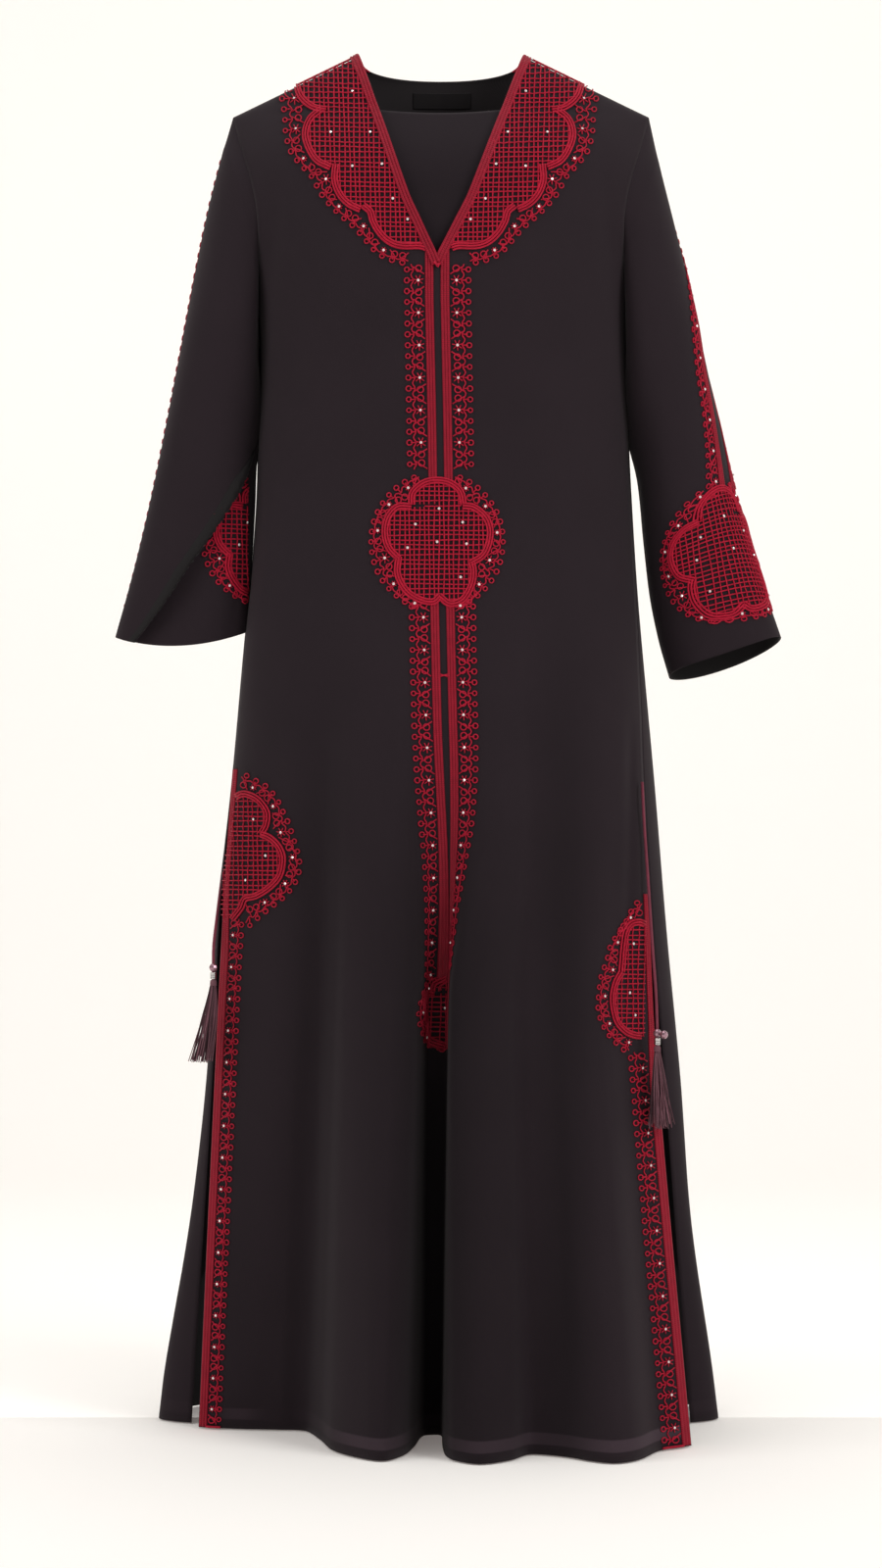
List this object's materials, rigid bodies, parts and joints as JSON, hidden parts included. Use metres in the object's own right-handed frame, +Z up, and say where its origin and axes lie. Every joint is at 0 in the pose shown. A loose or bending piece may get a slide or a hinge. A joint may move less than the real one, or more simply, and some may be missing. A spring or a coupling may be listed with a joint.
{
  "type": "kaftan",
  "caption": "Floor-length black kaftan with a V neck, long sleeves, crimson braid and corded-lace trims, side slits and two tasselled side cords, in the hollow pose it has when worn.",
  "frame": {"origin": "midway between the two points where the shoulder seams meet the neck, where the wearer holds the garment", "axes": "+Z up, along the garment's length; -Y is the front; +X is at the viewer's right when the front is seen"},
  "size_m": [0.679, 0.4224, 1.3991],
  "materials": {
    "black_crepe": "matt crepe, very dark warm grey",
    "black_lining": "matt woven lining",
    "crimson_trim": "soft lustre of braid and cord",
    "mauve_thread": "silky thread",
    "mauve_bead": "faceted, metallic lustre",
    "silver_collet": "polished"
  },
  "bodies": {
    "root": {"front": "black_crepe", "back": "black_crepe", "sleeve_left": "black_crepe", "sleeve_right": "black_crepe", "neck_insert": "black_lining", "back_neck_facing": "black_lining", "label": "black_lining", "neck_braid": "crimson_trim", "collar_lace_left": "crimson_trim", "collar_lace_right": "crimson_trim", "placket_upper_left": "crimson_trim", "placket_upper_right": "crimson_trim", "placket_lower_left": "crimson_trim", "placket_lower_right": "crimson_trim", "medallion_waist": "crimson_trim", "medallion_lower": "crimson_trim", "medallion_hip_left": "crimson_trim", "medallion_hip_right": "crimson_trim", "slit_trim_left": "crimson_trim", "slit_trim_right": "crimson_trim", "sleeve_trim_left": "crimson_trim", "sleeve_trim_right": "crimson_trim", "sleeve_medallion_left": "crimson_trim", "sleeve_medallion_right": "crimson_trim", "cord_left": "mauve_thread", "cord_right": "mauve_thread", "tassel_left": "mauve_thread", "tassel_right": "mauve_thread", "bead_left": "mauve_bead", "bead_right": "mauve_bead", "bead_right_second": "mauve_bead", "collet_left": "silver_collet", "collet_right": "silver_collet"}
  },
  "joints": []
}
